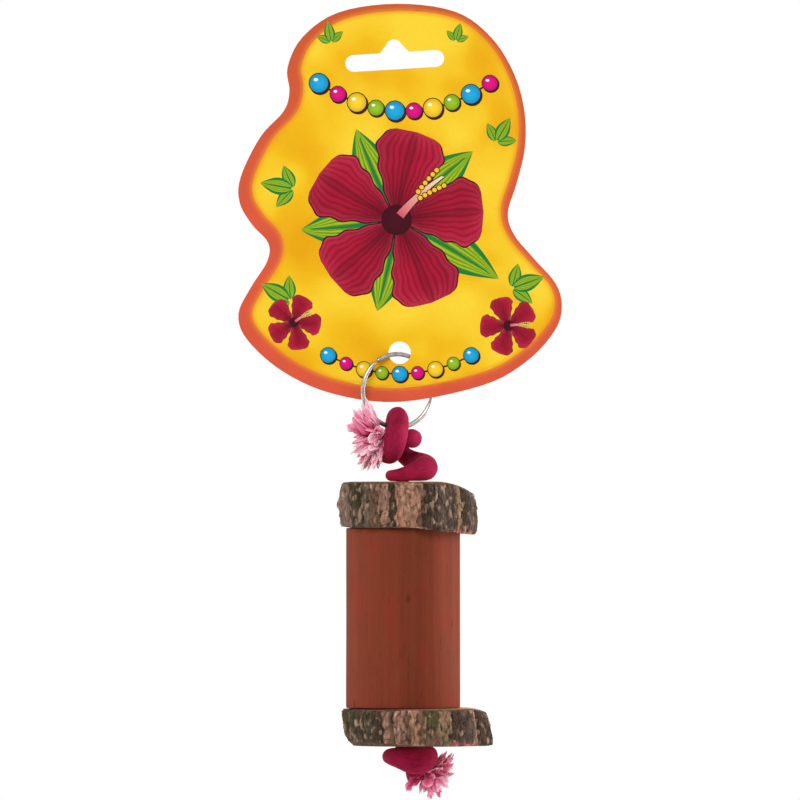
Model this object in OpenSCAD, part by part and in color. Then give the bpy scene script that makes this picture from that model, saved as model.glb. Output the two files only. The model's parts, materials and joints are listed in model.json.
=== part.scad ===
// Hanging wooden parrot toy. A round stained block hangs between two branch slices on one soft rope.
// The rope is hitched to a wire ring, and the ring hangs in a die-cut header card.
// Millimetres, +Z up, the card's face towards -Y, origin at the top of the card's peg slot.

/* [Header card] */
// Greatest width of the card
card_w = 104.5; // [95:0.5:125]
// Height of the card
card_h = 128; // [118:0.5:140]
// Thickness of the board
card_t = 0.5; // [0.3:0.1:0.8]
// Distance from the card's top edge down to the peg seat
slot_drop = 11.5; // [8:0.5:16]
// Length of the peg slot
slot_l = 31.8; // [26:0.2:36]
// Height of the slot's long part
slot_h = 5.4; // [4.6:0.2:6.6]
// Width of the slot's raised middle at its foot
hump_w = 9.4; // [8:0.2:12]
// Radius of the peg seat at the top of the raised middle
hump_r = 2.6; // [2:0.1:3.4]
// Rise of the peg seat above the slot's long part
hump_rise = 4.2; // [3:0.2:6]
// Lean of the slot, right end up, in degrees
slot_lean = 3.5; // [0:0.5:5]
// Diameter of the punched hole
hole_d = 7.2; // [6.8:0.1:9]
// Distance from the card's bottom edge up to the hole's centre
hole_rise = 15.8; // [14.8:0.1:16.6]
// Distance of the hole to the right of the peg seat
hole_x = 2; // [0:0.5:4]

/* [Wire ring] */
// Outer diameter of the ring
ring_d = 25; // [24:0.5:30]
// Diameter of the wire
wire_d = 1.5; // [1:0.1:1.8]
// Width of the butt gap between the wire's ends
ring_gap = 0.7; // [0.4:0.1:2]
// Place of the gap round the ring, in degrees from the right-hand side
gap_at = 128; // [110:1:150]
// Turn of the ring out of the card's plane, in degrees
ring_turn = 20; // [19:1:32]
// Distance of the ring's middle to the left of the hole, along the ring
ring_left = 0.8; // [0:0.1:1]
// Clearance round the wire in the hole and in the rope's hitch
ring_clear = 0.3; // [0.3:0.05:0.5]

/* [Rope] */
// Diameter of the rope
rope_d = 6.5; // [6:0.1:6.8]
// Clearance between the rope and the bores
bore_clear = 0.35; // [0.2:0.05:0.8]
// Distance of the rope's straight run to the right of the hole
rope_off = 1.1; // [0:0.1:1.6]
// Locks of fibre in each frayed end
lock_count = 26; // [12:1:30]
// Length of a lock in the upper frayed end
lock_l = 11.5; // [8:0.5:13]
// Length of a lock in the lower frayed end
low_lock_l = 8.5; // [7:0.5:11]

/* [Block] */
// Diameter of the block
block_d = 36.8; // [30:0.2:38]
// Length of the block
block_l = 57.8; // [40:0.2:80]
// Radius of the block's rounded edges
block_edge = 0.9; // [0.4:0.1:2]
// Gap between stacked wooden faces
seat_gap = 0.1; // [0.05:0.05:0.4]

/* [Upper slice] */
// Width of the slice over its bark
upper_w = 42.4; // [42:0.2:54]
// Depth of the slice over its bark
upper_dp = 44; // [43:0.2:54]
// Thickness of the slice
upper_t = 14.8; // [10:0.2:24]
// Distance of the slice's middle to the right of the rope
upper_x = 1.2; // [0.8:0.1:3]
// Drop of the bark's torn lip on the right below the slice
lip_drop = 2.2; // [0:0.1:4]
// Distance from the rope to the worn shoulder on the right of the slice's top
shoulder_x = 10.5; // [6:0.5:20]
// Lean of the branch across the slice, in degrees
upper_lean = 2; // [0:0.5:10]

/* [Lower slice] */
// Width of the slice over its bark
lower_w = 46.6; // [44:0.2:56]
// Depth of the slice over its bark
lower_dp = 46; // [44:0.2:56]
// Thickness of the slice
lower_t = 12; // [8:0.2:20]
// Distance of the slice's middle to the right of the rope
lower_x = 4.5; // [2:0.1:6]
// Lean of the branch across the slice, in degrees
lower_lean = 9; // [0:0.5:14]
// Distance from the rope to the worn shoulder on the right of the slice's top
lower_shoulder_x = 20; // [18:0.5:22]
// Rise of the bark's worn edge on the left of the slice's bottom
edge_rise = 1.2; // [0:0.1:2]

/* [Bark] */
// Thickness of the bark
bark_t = 3; // [2.4:0.1:4]
// Depth of the furrows
furrow = 0.9; // [0.2:0.1:1.2]
// How fast a worn shoulder falls away, in millimetres at one millimetre past its start
shoulder_fall = 0.025; // [0:0.005:0.05]
// Points round a slice
bark_sides = 120; // [60:12:144]

/* [Hidden] */
$fn = 96;

// Heights down the hang line
card_bottom = slot_drop - card_h;
hole_z = card_bottom + hole_rise;
ring_r = (ring_d - wire_d) / 2;
// The slanting wire crosses the board over this half length, which sets how low it lies in the hole
wire_reach = (card_t + wire_d) / 2 / sin(ring_turn);
wire_floor = sqrt(pow(hole_d / 2 - ring_clear, 2) - pow(wire_reach * cos(ring_turn), 2));
wire_bow = ring_r - sqrt(pow(ring_r, 2) - pow(wire_reach + ring_left, 2));
wire_z = hole_z - wire_floor + wire_bow + wire_d / 2;
ring_x = hole_x - ring_left * cos(ring_turn);
ring_y = -ring_left * sin(ring_turn);
ring_z = wire_z - ring_r;
hitch_z = ring_z - ring_r;
rope_x = hole_x + rope_off;

// The routes below are laid out for a rope of this diameter, and grow with the rope
route_rope_d = 6.5;
route_scale = rope_d / route_rope_d;
hitch_height = 17.5;
hitch_drop = hitch_height * route_scale;
bore_d = rope_d + 2 * bore_clear;

upper_top = hitch_z - hitch_drop;
upper_bottom = upper_top - upper_t;
block_top = upper_bottom - seat_gap;
block_bottom = block_top - block_l;
lower_top = block_bottom - seat_gap;
lower_bottom = lower_top - lower_t;

// The card's outline, clockwise, in hundredths of its width and height from the middle of its top
card_outline = [[1, 0], [19, -2], [30, -8.4], [37, -17.4], [40.3, -27], [40.4, -36.4], [37.8, -45.4],
    [35.2, -52.5], [37.1, -58], [43.2, -64], [50, -70.4], [51.8, -76.4], [49.4, -82.4], [41, -89.8],
    [27.6, -95.8], [2, -100], [-18.5, -98], [-34, -92.4], [-45, -84.4], [-47.7, -78], [-44, -71.4],
    [-38.8, -64.6], [-38.6, -60], [-43.5, -55.5], [-47.3, -50], [-47, -43.5], [-41, -33.5], [-33.8, -27],
    [-32, -22], [-32.6, -16], [-28, -8.4], [-17, -2.2]];
// Steps of the outline's curve from each point to the next, and where the peg seat's flanks meet its arc
outline_steps = 5;
seat_arc = 20;

// Hitch over the ring: right, back and up from the wire at the ring's foot, and how full the rope is there
hitch_end = [[-4.4, 0.4, -3.3, 0.82], [-2.2, 0.6, -3.5, 0.74], [1, 0.6, -3.7, 0.7], [4.2, 0.5, -3.7, 0.8],
    [6.2, 2.2, -3.6, 1], [8.8, 6.8, -3.6, 0.86], [8.4, 12.6, -4.1, 0.8], [3, 15.6, -5.4, 0.75],
    [-2, 12.6, -7, 0.72], [-2.8, 7, -8.6, 0.7], [-2.8, 1.7, -9.5, 0.7], [-3.4, -3.6, -9.3, 0.78],
    [-3.9, -7.6, -7.2, 1], [-3.8, -8.4, -3.6, 1.18], [-2.1, -6.1, -0.4, 1.1]];
// The loop over the wire is an arc round it
loop_full = 0.85;
loop_turns = [-50, -25, 0, 25, 50];
// From the back of the loop down to the bend that lies on the upper slice, and back over its bore
hitch_foot = [[0.6, 6.3, -1.5, 0.8], [1.9, 7.6, -5, 0.78], [4.4, 8.2, -8.4, 0.82], [7.6, 7.8, -10.7, 0.95],
    [10, 4.5, -11.8, 1.1], [10, 0, -12.4, 1.2], [8, -3.8, -12.8, 1.2], [4.5, -5.6, -13.7, 0.95],
    [0.8, -5.9, -14.8, 0.7], [-2.2, -5, -15.4, 0.57], [-3.2, -2.6, -15.6, 0.54], [-2.4, 0.2, -15.4, 0.52],
    [0.4, 0.8, -15.1, 0.5]];
// Into the upper slice's bore, from the height of the wire
bore_entry = [[0, 0, -17.2, 0.54], [0, 0, -20, 0.85], [0, 0, -24, 1]];
// Stopper knot: right, back and up from the mouth of the lower slice's bore
stopper = [[0, 0, 6, 1], [0, 0, 2.5, 1], [0.4, -0.2, -1, 0.82], [1, -0.6, -4, 0.62], [2.2, -1.6, -7, 0.56],
    [3.2, -0.8, -9.8, 0.56], [3.3, 3.2, -11.2, 0.56], [2.8, 7.8, -9.6, 0.6], [2.6, 10, -5.8, 0.64],
    [4.6, 9, -2.5, 0.66], [8.2, 5, -2.3, 0.66], [8.6, -0.6, -2.7, 0.78], [6.6, -6, -4.2, 1.06],
    [2.5, -8.8, -4.6, 1.2], [-1.8, -7.8, -3.8, 1], [-4.2, -3.8, -3.4, 0.76], [-4.6, 0.8, -3.6, 0.64],
    [-3, 4.6, -4.4, 0.6], [0.5, 5.2, -5, 0.58], [4, 4.7, -5.9, 0.58], [6.7, 3.4, -7.4, 0.66],
    [8.3, 1.4, -8.7, 0.82]];
// Sides of the rope's tube, and its rings from each point to the next
rope_sides = 12;
rope_steps = 3;

function unit(v) = v / norm(v);
function turned(p, a) = [p.x * cos(a) - p.y * sin(a), p.x * sin(a) + p.y * cos(a), p.z];
function mix(a, b, t) = a + (b - a) * t;

// A smooth closed curve through the points p, in n steps from each to the next
function through(p, n) = [for (i = [0:len(p) - 1], k = [0:n - 1])
    let (t = k / n, m = len(p), a = p[(i + m - 1) % m], b = p[i], c = p[(i + 1) % m], d = p[(i + 2) % m])
    b + ((c - a) * t + (2 * a - 5 * b + 4 * c - d) * t * t + (3 * b - a - 3 * c + d) * t * t * t) / 2];

// A smooth open curve along the points p, drawn in a little at its bends
function along(p, n) = let (q = concat([2 * p[0] - p[1]], p, [2 * p[len(p) - 1] - p[len(p) - 2]]))
    concat([for (i = [0:len(q) - 4], k = [0:n - 1]) let (t = k / n)
        (q[i] * pow(1 - t, 3) + q[i + 1] * (3 * t * t * t - 6 * t * t + 4)
            + q[i + 2] * (3 * t + 3 * t * t - 3 * t * t * t + 1) + q[i + 3] * t * t * t) / 6],
        [p[len(p) - 1]]);

function place(p) = [p.x, p.y, p.z];
function ways(p) = [for (i = [0:len(p) - 1]) unit(p[min(i + 1, len(p) - 1)] - p[max(i - 1, 0)])];
// Side directions carried along a path without twist
function sides_of(w, n, i = 0) = i == len(w) ? [] :
    let (m = unit(n - (n * w[i]) * w[i])) concat([m], sides_of(w, m, i + 1));

// Closed tube along a path of [x, y, z, radius]
module tube(path, sides) {
    p = [for (q = path) place(q)];
    w = ways(p);
    side = sides_of(w, unit(cross(w[0], [0.3, 0.2, 1])));
    last = len(path) - 1;
    points = [for (i = [0:last], k = [0:sides - 1]) let (a = 360 * k / sides)
        p[i] + path[i][3] * (cos(a) * side[i] + sin(a) * cross(w[i], side[i]))];
    walls = [for (i = [0:last - 1], k = [0:sides - 1])
        let (a = i * sides + k, b = i * sides + (k + 1) % sides)
        each [[a, a + sides, b], [b, a + sides, b + sides]]];
    far = last * sides;
    ends = [for (k = [1:sides - 2]) each [[0, k, k + 1], [far, far + k + 1, far + k]]];
    polyhedron(points, concat(walls, ends));
}

// The rope's route from the upper frayed end to the lower one
loop_r = wire_d / 2 + ring_clear + loop_full * rope_d / 2;
loop_lay = loop_r * 6 / (4 + 2 * cos(loop_turns[1] - loop_turns[0]));
loop = [for (a = loop_turns) [0, loop_lay * sin(a), loop_lay * cos(a), loop_full]];
function scaled(list) = [for (q = list) [q.x * route_scale, q.y * route_scale, q.z * route_scale, q[3]]];
function set_at(list, from) = [for (q = list) concat(place(q) + from, [q[3] * rope_d / 2])];
hitch_route = [for (q = concat(scaled(hitch_end), loop, scaled(hitch_foot)))
    concat(turned(q, ring_turn), [q[3]])];
rope_route = concat(set_at(hitch_route, [ring_x, ring_y, hitch_z]),
    set_at(scaled(bore_entry), [rope_x, 0, hitch_z]), set_at(scaled(stopper), [rope_x, 0, lower_bottom]));
rope_path = along(rope_route, rope_steps);
rope_ways = ways([for (q = rope_path) place(q)]);

// The rope's least gap to itself, between points that lie further apart along it than its bends reach
function lengths(p, i = 0, sum = 0) = i == len(p) ? [] :
    let (s = i == 0 ? 0 : sum + norm(place(p[i]) - place(p[i - 1]))) concat([s], lengths(p, i + 1, s));
rope_at = lengths(rope_path);
bend_reach = 1.6;
rope_gap = min([for (i = [0:len(rope_path) - 2], j = [i + 1:len(rope_path) - 1])
    let (a = rope_path[i], b = rope_path[j]) if (rope_at[j] - rope_at[i] > bend_reach * (a[3] + b[3]))
    norm(place(a) - place(b)) - a[3] - b[3]]);
echo(rope_least_gap = rope_gap, rope_length = rope_at[len(rope_at) - 1]);

// Locks of fibre that fan out from a stub of the rope, with roots and directions in a sunflower pattern
golden = 137.5;
stub_l = 0.8;
lock_sides = 5;
lock_rings = 6;
lock_root = 0.34;
lock_full = 0.55;
lock_tip = 0.16;
// Where along a lock it is fullest, and where it bends
full_at = 0.4;
bend_at = 0.4;
// Share of the rope's end that the roots cover, and the range of the locks' lengths
root_share = 0.95;
long_range = [0.8, 1.1];
module frayed(end, way, aim, up, spread, flat, long, seed) {
    root = place(end) + stub_l / 2 * way;
    r = root_share * end[3] - lock_root;
    tube([end, concat(place(end) + stub_l * way, [end[3]])], rope_sides);
    e1 = unit(up - (up * way) * way);
    e2 = cross(way, e1);
    f1 = unit(up - (up * aim) * aim);
    f2 = cross(aim, f1);
    odd = rands(long_range[0], long_range[1], lock_count, seed);
    for (k = [0:lock_count - 1]) {
        share = sqrt((k + 0.5) / lock_count);
        turn = golden * k;
        from = root + r * share * (cos(turn) * e1 + sin(turn) * e2);
        lean = spread * share;
        go = cos(lean) * aim + sin(lean) * (cos(turn) * f1 + flat * sin(turn) * f2);
        to = from + long * odd[k] * go;
        bend = from + bend_at * long * unit(way + go);
        path = [for (i = [0:lock_rings]) let (t = i / lock_rings)
            concat(mix(mix(from, bend, t), mix(bend, to, t), t),
                [t < full_at ? mix(lock_root, lock_full, t / full_at)
                    : mix(lock_full, lock_tip, (t - full_at) / (1 - full_at))])];
        tube(path, lock_sides);
    }
}

// Outline of a branch at the angle a, as a share of its half width
function branch(a, seed) = 1 + 0.018 * sin(2 * a + 70 * seed) + 0.016 * sin(3 * a + 110 * seed)
    + 0.01 * sin(5 * a + 40 * seed);
// Depth of the bark's furrows at the angle a and the height h, from -1 to 1
function furrows(a, h, seed) = 0.5 * sin(14 * a + 55 * sin(3 * a + 20 * h + 50 * seed))
    + 0.3 * sin(23 * a + 70 * sin(2 * a + 40 * seed) - 35 * h) + 0.2 * sin(31 * a + 60 * h + 90 * seed);

// Outline of the wood inside the bark, round the slice's middle
function wood_outline(w, dp, seed) = [for (k = [0:bark_sides - 1]) let (a = 360 * k / bark_sides)
    branch(a, seed) * [(w / 2 - bark_t) * cos(a), (dp / 2 - bark_t) * sin(a)]];

// Height of a slice's top at the place x from the rope: flat, and falling away past a worn shoulder
function top_at(t, x, shoulder) = t - shoulder_fall * pow(max(0, x - shoulder), 2);

// Points of a worn shoulder's curve, one to each millimetre
shoulder_steps = 24;
module slice_wood(w, dp, t, x, top, seed, shoulder) {
    translate([rope_x, 0, top - t]) difference() {
        linear_extrude(t) translate([x, 0]) polygon(wood_outline(w, dp, seed));
        translate([0, 0, -1]) cylinder(d = bore_d, h = t + 2);
        rotate([90, 0, 0]) linear_extrude(2 * dp, center = true)
            polygon(concat([for (i = [0:shoulder_steps]) let (p = shoulder + i) [p, top_at(t, p, shoulder)]],
                [[shoulder + shoulder_steps, t + 1], [shoulder, t + 1]]));
    }
}

// Ring of bark round a slice. Its levels run from the bottom, at h = 0, to the top, at h = 1.
bark_levels = 6;
// How far the bark draws in towards its rims, and how far the rims themselves are worn away
bark_barrel = 0.4;
rim_wear = 0.4;
module slice_bark(w, dp, t, x, top, seed, lean, lip, rise, shoulder) {
    n = bark_sides;
    inner = wood_outline(w, dp, seed);
    outer = [for (i = [0:bark_levels], k = [0:n - 1])
        let (h = i / bark_levels, s = 2 * h - 1, a = 360 * k / n, right = max(0, cos(a)),
            thick = bark_t + furrow * furrows(a, s, seed) - bark_barrel * pow(s, 2) - rim_wear * pow(s, 6),
            out = inner[k] + unit(inner[k]) * max(bark_t / 3, thick - tan(lean) * t / 2 * cos(a) * s),
            high = top_at(t, out.x + x, shoulder) - rim_wear * (1 - 0.5 * sin(7 * a)),
            low = rim_wear * (1 - right) - lip * right + rise * max(0, -cos(a)))
        [out.x, out.y, mix(low, high, h)]];
    rims = concat([for (p = inner) [p.x, p.y, 0]],
        [for (p = inner) [p.x, p.y, top_at(t, p.x + x, shoulder)]]);
    low_rim = len(outer);
    high_rim = low_rim + n;
    last = bark_levels * n;
    faces = [for (k = [0:n - 1]) let (m = (k + 1) % n) each concat(
        [for (i = [0:bark_levels - 1]) let (b = i * n)
            each [[b + k, b + n + k, b + m], [b + m, b + n + k, b + n + m]]],
        [[low_rim + k, k, low_rim + m], [low_rim + m, k, m],
            [last + k, high_rim + k, last + m], [last + m, high_rim + k, high_rim + m],
            [high_rim + k, low_rim + k, high_rim + m], [high_rim + m, low_rim + k, low_rim + m]])];
    translate([rope_x + x, 0, top - t]) polyhedron(concat(outer, rims), faces);
}

module hang_card() color([0.95, 0.75, 0.12]) {
    slot_mid = hump_rise + slot_h / 2;
    end_x = (slot_l - slot_h) / 2;
    seat_x = hump_r * cos(seat_arc);
    seat_y = hump_r * (1 - sin(seat_arc));
    rotate([90, 0, 0]) linear_extrude(card_t, center = true) difference() {
        translate([0, slot_drop])
            polygon(through([for (p = card_outline) [p.x * card_w, p.y * card_h] / 100], outline_steps));
        rotate(slot_lean) {
            translate([0, -slot_mid]) square([2 * end_x, slot_h], center = true);
            for (side = [-1, 1]) translate([side * end_x, -slot_mid]) circle(d = slot_h);
            translate([0, -hump_r]) circle(r = hump_r);
            polygon([[-hump_w / 2, -slot_mid], [-hump_w / 2, -hump_rise], [-seat_x, -seat_y],
                [seat_x, -seat_y], [hump_w / 2, -hump_rise], [hump_w / 2, -slot_mid]]);
        }
        translate([hole_x, hole_z]) circle(d = hole_d);
    }
}

module tag_ring() color([0.75, 0.76, 0.78]) {
    gap = 2 * asin(ring_gap / 2 / ring_r);
    translate([ring_x, ring_y, ring_z]) rotate([90, 0, ring_turn])
        rotate_extrude(angle = 360 - gap, start = gap_at + gap / 2)
            translate([ring_r, 0]) circle(d = wire_d, $fn = 48);
}

module rope() color([0.58, 0.1, 0.22]) tube(rope_path, rope_sides);

// The frayed ends fan out from the rope's ends: the upper one to the left, the lower one to the right
upper_aim = turned(unit([-0.9, -0.3, -0.2]), ring_turn);
lower_aim = unit([0.6, -0.5, -0.45]);
upper_spread = 58;
lower_spread = 59;
fan_flat = 0.6;
module upper_frayed_end() color([0.85, 0.5, 0.52])
    frayed(rope_path[0], -rope_ways[0], upper_aim, [0, 0, 1], upper_spread, fan_flat, lock_l, 11);

module lower_frayed_end() color([0.85, 0.5, 0.52]) {
    last = len(rope_path) - 1;
    frayed(rope_path[last], rope_ways[last], lower_aim, [0, 0, 1], lower_spread, fan_flat, low_lock_l, 23);
}

upper_seed = 1;
lower_seed = 2.3;
module upper_slice_wood() color([0.82, 0.64, 0.45])
    slice_wood(upper_w, upper_dp, upper_t, upper_x, upper_top, upper_seed, shoulder_x);

module upper_slice_bark() color([0.36, 0.29, 0.25])
    slice_bark(upper_w, upper_dp, upper_t, upper_x, upper_top, upper_seed, upper_lean, lip_drop, 0,
        shoulder_x);

module block() color([0.5, 0.25, 0.17]) translate([rope_x, 0, block_bottom]) rotate_extrude() difference() {
    union() {
        square([block_d / 2 - block_edge, block_l]);
        translate([0, block_edge]) square([block_d / 2, block_l - 2 * block_edge]);
        for (z = [block_edge, block_l - block_edge])
            translate([block_d / 2 - block_edge, z]) circle(r = block_edge);
    }
    translate([0, -1]) square([bore_d / 2, block_l + 2]);
}

module lower_slice_wood() color([0.82, 0.64, 0.45])
    slice_wood(lower_w, lower_dp, lower_t, lower_x, lower_top, lower_seed, lower_shoulder_x);

module lower_slice_bark() color([0.36, 0.29, 0.25])
    slice_bark(lower_w, lower_dp, lower_t, lower_x, lower_top, lower_seed, lower_lean, 0, edge_rise,
        lower_shoulder_x);

hang_card();
tag_ring();
rope();
upper_frayed_end();
lower_frayed_end();
upper_slice_wood();
upper_slice_bark();
block();
lower_slice_wood();
lower_slice_bark();
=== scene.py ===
"""Looks of a hanging wooden parrot toy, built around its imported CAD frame.

Metres, +Z up, the card's printed face looks towards -Y, origin at the top of the card's peg slot.
"""
import json
import math
import random

import bpy
import numpy as np
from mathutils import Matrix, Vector, noise
from mathutils.geometry import delaunay_2d_cdt


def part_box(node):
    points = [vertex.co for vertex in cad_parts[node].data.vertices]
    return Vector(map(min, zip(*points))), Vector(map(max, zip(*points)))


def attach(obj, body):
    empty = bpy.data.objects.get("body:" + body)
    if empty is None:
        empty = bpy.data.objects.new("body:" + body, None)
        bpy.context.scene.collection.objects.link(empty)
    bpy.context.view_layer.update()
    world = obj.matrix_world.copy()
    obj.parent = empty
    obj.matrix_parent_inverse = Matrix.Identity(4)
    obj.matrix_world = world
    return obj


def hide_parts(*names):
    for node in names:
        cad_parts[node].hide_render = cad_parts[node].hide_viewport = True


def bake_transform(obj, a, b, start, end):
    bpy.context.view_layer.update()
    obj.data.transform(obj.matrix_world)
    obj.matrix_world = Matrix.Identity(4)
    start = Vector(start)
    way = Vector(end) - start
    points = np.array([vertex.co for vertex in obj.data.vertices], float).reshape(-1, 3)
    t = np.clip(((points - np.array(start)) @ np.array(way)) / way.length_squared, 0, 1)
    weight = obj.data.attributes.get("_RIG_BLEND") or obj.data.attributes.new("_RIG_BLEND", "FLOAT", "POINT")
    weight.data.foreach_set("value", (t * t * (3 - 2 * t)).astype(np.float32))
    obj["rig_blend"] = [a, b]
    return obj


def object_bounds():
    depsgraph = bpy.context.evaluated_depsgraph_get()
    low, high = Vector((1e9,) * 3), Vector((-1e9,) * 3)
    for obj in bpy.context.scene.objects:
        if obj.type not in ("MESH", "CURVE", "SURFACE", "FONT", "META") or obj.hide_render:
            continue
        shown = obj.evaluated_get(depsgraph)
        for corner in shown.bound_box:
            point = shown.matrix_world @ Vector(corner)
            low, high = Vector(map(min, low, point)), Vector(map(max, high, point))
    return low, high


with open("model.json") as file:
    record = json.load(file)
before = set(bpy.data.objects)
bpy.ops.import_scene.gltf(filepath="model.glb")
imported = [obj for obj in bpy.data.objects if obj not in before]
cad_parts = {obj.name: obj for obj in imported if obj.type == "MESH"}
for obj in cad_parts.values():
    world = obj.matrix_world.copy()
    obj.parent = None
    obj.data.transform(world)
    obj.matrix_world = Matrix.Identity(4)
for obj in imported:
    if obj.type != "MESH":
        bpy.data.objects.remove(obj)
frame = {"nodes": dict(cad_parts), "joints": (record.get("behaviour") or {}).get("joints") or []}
cad_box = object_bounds()

MM = 0.001
plus_x, plus_y, up = np.eye(3)
scene = bpy.context.scene
joints = {joint["name"]: joint for joint in frame["joints"]}


def srgb(red, green, blue):
    """Linear colour from the 0 to 255 values that a screen shows."""
    shares = [part / 255 for part in (red, green, blue)]
    return np.array([*[s / 12.92 if s <= 0.04045 else ((s + 0.055) / 1.055) ** 2.4 for s in shares], 1])


def blended(first, second, share):
    """Colours from the first to the second, one for each share."""
    return first + (second - first) * np.asarray(share)[..., None]


def unit(vectors):
    return vectors / np.linalg.norm(vectors, axis=-1, keepdims=True)


def circle(count):
    """Cosines and sines of equal steps round a full turn."""
    turns = np.linspace(0, 2 * math.pi, count, endpoint=False)
    return np.cos(turns), np.sin(turns)


def noises(points, size):
    """Smooth noise at each point, from about -1 to 1, of one feature size or of one each for x, y and z."""
    scaled = np.asarray(points) / np.asarray(size)
    return np.array([noise.noise(p) for p in scaled.reshape(-1, 3)]).reshape(scaled.shape[:-1])


def linked(name, data):
    """A new object in the scene."""
    made = bpy.data.objects.new(name, data)
    scene.collection.objects.link(made)
    return made


# Camera, lamps and stage

# Height of the card's plane that the picture takes in, and the middle of the picture there
view_height = 0.2572
view_middle = Vector((0.0021, 0, -0.1159))
camera_away = 5.0
floor_drop = 0.015
floor_radius = 0.3
floor_sides = 96
# Place, width, height and level of each lamp
lamps = {
    "left_softbox": ((-1.0, 0.22, -0.05), 0.5, 0.9, 0.54),
    "right_softbox": ((1.0, 0.22, -0.1), 0.5, 0.9, 1.25),
    "front_softbox": ((-0.2, -1.3, 0.7), 0.9, 0.6, 0.6),
}


def make_camera():
    data = bpy.data.cameras.new("camera")
    data.sensor_width = 36
    data.lens = data.sensor_width * camera_away / view_height
    scene.camera = linked("camera", data)
    scene.camera.location = view_middle - Vector((0, camera_away, 0))
    scene.camera.rotation_euler = (math.radians(90), 0, 0)


def make_lamp(name, place, width, height, level):
    """A soft lamp. A surface that faces one lamp of level 1 shows its colour as written."""
    away = view_middle - Vector(place)
    data = bpy.data.lights.new(name, "AREA")
    data.shape = "RECTANGLE"
    data.size = width
    data.size_y = height
    data.energy = level * math.pi ** 2 * away.length_squared
    lamp = linked(name, data)
    lamp.location = place
    lamp.rotation_euler = away.to_track_quat("-Z", "Y").to_euler()


def make_world():
    """White where the camera, gloss or glass looks, and an even soft light on everything else."""
    s = Shader("studio", "worlds", "Background")
    seen = s.add("LightPath", {}, "Is Camera Ray")
    for kind in ("Is Glossy Ray", "Is Transmission Ray"):
        seen = s.maths("MAXIMUM", seen, s.add("LightPath", {}, kind))
    scene.world = s.set({"Color": (1, 1, 1, 1), "Strength": s.span(seen, 0, 1, 0.5, 1)})


def make_floor():
    """A pale round floor under the hanging toy."""
    cos, sin = circle(floor_sides)
    level = np.full(floor_sides, cad_box[0].z - floor_drop)
    mesh = bpy.data.meshes.new("floor")
    rim = np.column_stack([floor_radius * cos, floor_radius * sin, level])
    mesh.from_pydata(rim.tolist(), [], [tuple(range(floor_sides))])
    s = Shader("pale_floor")
    mesh.materials.append(s.finish(s.ramp(s.noise(s.place(), 3), (0.3, 0.84), (0.7, 0.88)), 0.9, 0.1))
    linked("floor", mesh)


def make_stage():
    scene.view_settings.view_transform = "Standard"
    make_camera()
    make_world()
    make_floor()
    for name, settings in lamps.items():
        make_lamp(name, *settings)


# Materials


class Shader:
    """Nodes of a material or a world, added one call at a time. A value is a number, colour or socket."""

    def __init__(self, name, kind="materials", end="Principled BSDF"):
        self.owner = getattr(bpy.data, kind).new(name)
        self.owner.use_nodes = True
        self.tree = self.owner.node_tree
        self.end = self.tree.nodes[end]

    def put(self, socket, value):
        if isinstance(value, bpy.types.NodeSocket):
            self.tree.links.new(value, socket)
        else:
            socket.default_value = value

    def set(self, inputs):
        for name, value in inputs.items():
            self.put(self.end.inputs[name], value)
        return self.owner

    def finish(self, colour, rough, gloss, relief=None, **others):
        """The finished material. Its relief is a height, a depth in millimetres and a strength."""
        inputs = {"Base Color": colour, "Roughness": rough, "Specular IOR Level": gloss}
        inputs.update({name.replace("_", " ").title(): value for name, value in others.items()})
        if relief:
            height, depth, strength = relief
            bump = {"Height": height, "Distance": depth * MM, "Strength": strength}
            inputs["Normal"] = self.add("Bump", bump)
        return self.set(inputs)

    def add(self, kind, inputs, output=0, **settings):
        node = self.tree.nodes.new("ShaderNode" + kind)
        for name, value in settings.items():
            setattr(node, name, value)
        for key, value in inputs.items():
            self.put(node.inputs[key], value)
        return node.outputs[output]

    def place(self):
        return self.add("TexCoord", {}, "Object")

    def attribute(self, name, output="Fac"):
        return self.add("Attribute", {}, output, attribute_name=name)

    def stretch(self, vector, scale, shift=(0, 0, 0)):
        return self.add("Mapping", {"Vector": vector, "Scale": scale, "Location": shift})

    def noise(self, vector, size, detail=3, rough=0.55):
        """Noise with features of a size in millimetres."""
        values = {"Vector": vector, "Scale": 1 / (size * MM), "Detail": detail, "Roughness": rough}
        return self.add("TexNoise", values)

    def ramp(self, value, *stops):
        node = self.tree.nodes.new("ShaderNodeValToRGB")
        self.put(node.inputs["Fac"], value)
        elements = node.color_ramp.elements
        while len(elements) < len(stops):
            elements.new(0.5)
        for element, (place, colour) in zip(elements, stops):
            element.position = place
            element.color = colour if hasattr(colour, "__len__") else (colour, colour, colour, 1)
        return node.outputs["Color"]

    def mix(self, share, first, second, blend="MIX"):
        # A mix node has sockets for numbers and vectors before those for colours
        return self.add("Mix", {0: share, 6: first, 7: second}, 2, data_type="RGBA", blend_type=blend)

    def times(self, first, second):
        return self.mix(1, first, second, "MULTIPLY")

    def maths(self, operation, first, second=0.0):
        return self.add("Math", {0: first, 1: second}, operation=operation)

    def span(self, value, low, high, to_low=0.0, to_high=1.0):
        values = {"Value": value, "From Min": low, "From Max": high, "To Min": to_low, "To Max": to_high}
        return self.add("MapRange", values)


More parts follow.
